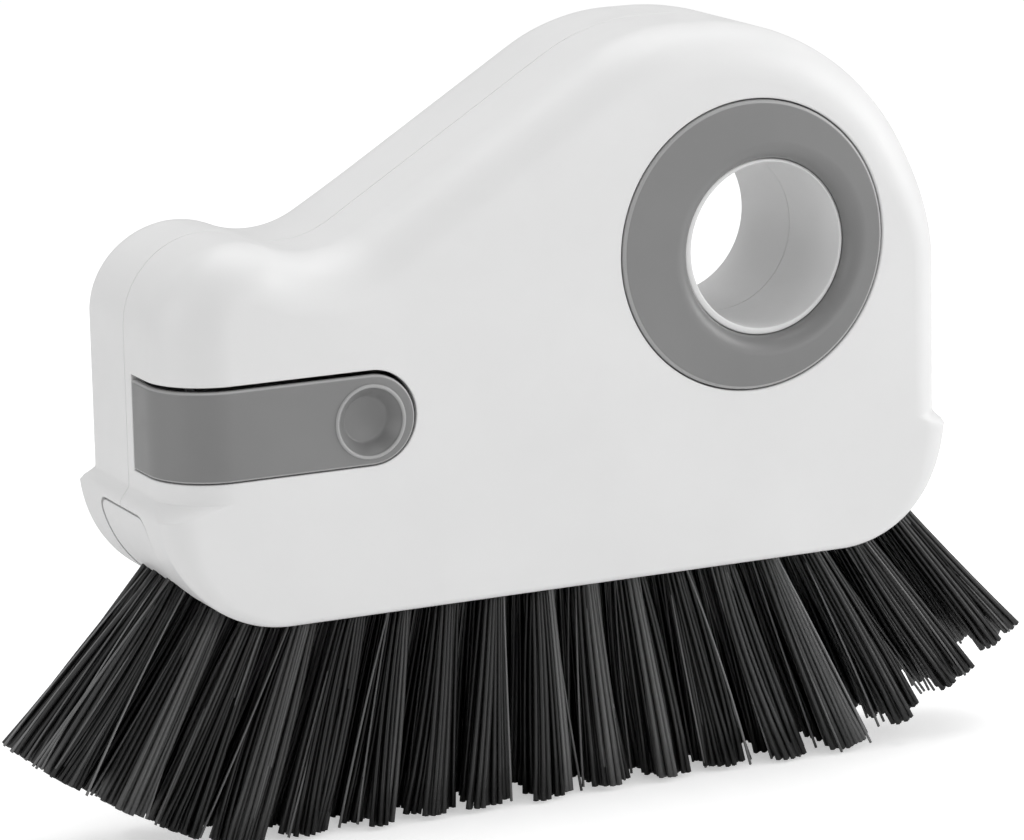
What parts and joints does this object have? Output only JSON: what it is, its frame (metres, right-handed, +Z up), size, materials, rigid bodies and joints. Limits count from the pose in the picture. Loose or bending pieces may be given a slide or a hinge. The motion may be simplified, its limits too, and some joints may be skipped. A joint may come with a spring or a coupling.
{
  "type": "window cleaning brush",
  "caption": "Hand-held window cleaning brush: two-shell white handle with a ringed finger hole, a grey press lever and a fanned head of black bristles.",
  "frame": {"origin": "on the plane of the trimmed bristle tips, midway along the brush and on the parting plane of the two shells", "axes": "+X along the brush from the nose with the lever to the end with the finger hole, +Z up from the bristle tips to the hump, -Y towards the side with the lever"},
  "size_m": [0.1701, 0.037, 0.1206],
  "materials": {
    "white_plastic": "satin",
    "head_plastic": "satin",
    "grey_plastic": "satin",
    "bristle_nylon": "satin",
    "pin_steel": "bright"
  },
  "bodies": {
    "housing": {"front_shell": "white_plastic", "rear_shell": "white_plastic", "front_ring": "grey_plastic", "rear_ring": "grey_plastic", "lever_pin": "pin_steel", "brush_head": "head_plastic", "bristles_1": "bristle_nylon", "bristles_2": "bristle_nylon", "bristles_3": "bristle_nylon", "bristles_4": "bristle_nylon", "bristles_5": "bristle_nylon", "bristles_6": "bristle_nylon", "bristles_7": "bristle_nylon", "bristles_8": "bristle_nylon", "bristles_9": "bristle_nylon", "bristles_10": "bristle_nylon", "bristles_11": "bristle_nylon", "bristles_12": "bristle_nylon"},
    "lever": {"release_lever": "grey_plastic", "lever_spring": "pin_steel"}
  },
  "joints": [
    {"name": "lever_press", "type": "hinge", "parent": "housing", "child": "lever", "pos_m": [-0.0595, -0.011, 0.0662], "axis": [0, 0, 1], "range_deg": [0, 2.5], "stiffness_Nm_per_rad": 0.4, "springref_deg": -6.88}
  ]
}
